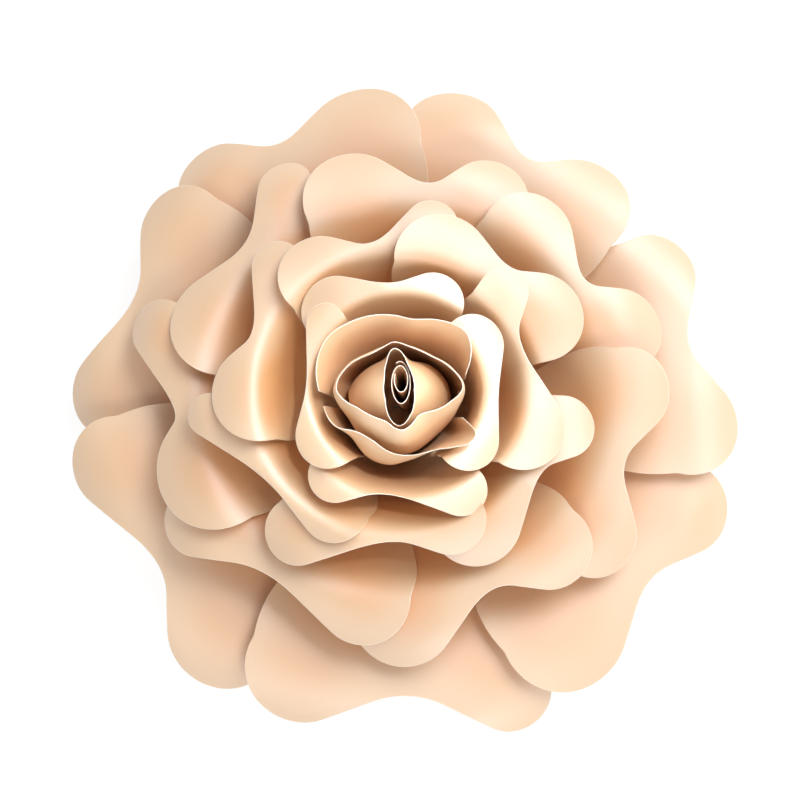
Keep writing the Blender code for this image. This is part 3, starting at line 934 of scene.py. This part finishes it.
class FLOWER_OT_third_ring(bpy.types.Operator):
    """Make the third ring of petals"""
    bl_idname = "flower.third_ring"
    bl_label = "Third Ring"

    def execute(self, context):
        add_ring("third_petal", THIRD_RING, THIRD_LAYER, THIRD_SHADE)
        return {"FINISHED"}


class FLOWER_OT_inner_ring(bpy.types.Operator):
    """Make the inner ring of petals"""
    bl_idname = "flower.inner_ring"
    bl_label = "Inner Ring"

    def execute(self, context):
        add_ring("inner_petal", INNER_RING, INNER_LAYER, INNER_SHADE)
        return {"FINISHED"}


class FLOWER_OT_bud(bpy.types.Operator):
    """Make the cupped petals and the wraps of the bud"""
    bl_idname = "flower.bud"
    bl_label = "Bud"

    def execute(self, context):
        add_wall("bud_petal_upper", BUD_UPPER, BUD_LAYER)
        add_wall("bud_petal_lower", BUD_LOWER, BUD_LAYER)
        add_wall("bud_wrap_outer", WRAP_OUTER, WRAP_LAYER)
        add_wall("bud_wrap_inner", WRAP_INNER, WRAP_LAYER)
        return {"FINISHED"}


class FLOWER_OT_centre_roll(bpy.types.Operator):
    """Make the rolled strip in the middle"""
    bl_idname = "flower.centre_roll"
    bl_label = "Centre Roll"

    def execute(self, context):
        settings = context.scene.paper_flower
        level = foot_level(WRAP_LAYER) - settings.card / 2
        add_sheet("centre_roll", roll_grid(level, settings.bud_columns, settings.bud_rows), BUD_SHADE)
        return {"FINISHED"}


class FLOWER_OT_stage(bpy.types.Operator):
    """Set the floor, the lamps, the surroundings and the camera"""
    bl_idname = "flower.stage"
    bl_label = "Stage"

    def execute(self, context):
        settings = context.scene.paper_flower_stage
        add_floor(settings)
        add_surroundings(settings)
        add_soft_box("key_box", settings.key_place, settings.key_size, settings.key_power)
        add_soft_box("fill_box", settings.fill_place, settings.fill_size, settings.fill_power)
        add_bud_lamp(settings)
        add_camera()
        return {"FINISHED"}


class FLOWER_PT_panel(bpy.types.Panel):
    """Steps that dress the flower, in order"""
    bl_idname = "FLOWER_PT_panel"
    bl_label = "Paper Flower"
    bl_space_type = "VIEW_3D"
    bl_region_type = "UI"
    bl_category = "Paper Flower"

    def draw(self, context):
        for step in STEPS:
            self.layout.operator(step.bl_idname)
        for name in FlowerSettings.__annotations__:
            self.layout.prop(context.scene.paper_flower, name)
        for name in StageSettings.__annotations__:
            self.layout.prop(context.scene.paper_flower_stage, name)


STEPS = (FLOWER_OT_base, FLOWER_OT_outer_ring, FLOWER_OT_second_ring, FLOWER_OT_third_ring,
         FLOWER_OT_inner_ring, FLOWER_OT_bud, FLOWER_OT_centre_roll, FLOWER_OT_stage)
CLASSES = (FlowerSettings, StageSettings, *STEPS, FLOWER_PT_panel)


def register():
    """Add the classes and the scene's settings."""
    for cls in CLASSES:
        bpy.utils.register_class(cls)
    bpy.types.Scene.paper_flower = PointerProperty(type=FlowerSettings)
    bpy.types.Scene.paper_flower_stage = PointerProperty(type=StageSettings)


def unregister():
    """Take the settings and the classes away."""
    del bpy.types.Scene.paper_flower_stage
    del bpy.types.Scene.paper_flower
    for cls in reversed(CLASSES):
        bpy.utils.unregister_class(cls)


def main():
    """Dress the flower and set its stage."""
    register()
    bpy.context.scene.view_settings.view_transform = "Standard"
    for step in STEPS:
        group, name = step.bl_idname.split(".")
        getattr(getattr(bpy.ops, group), name)()


if __name__ == "__main__":
    main()
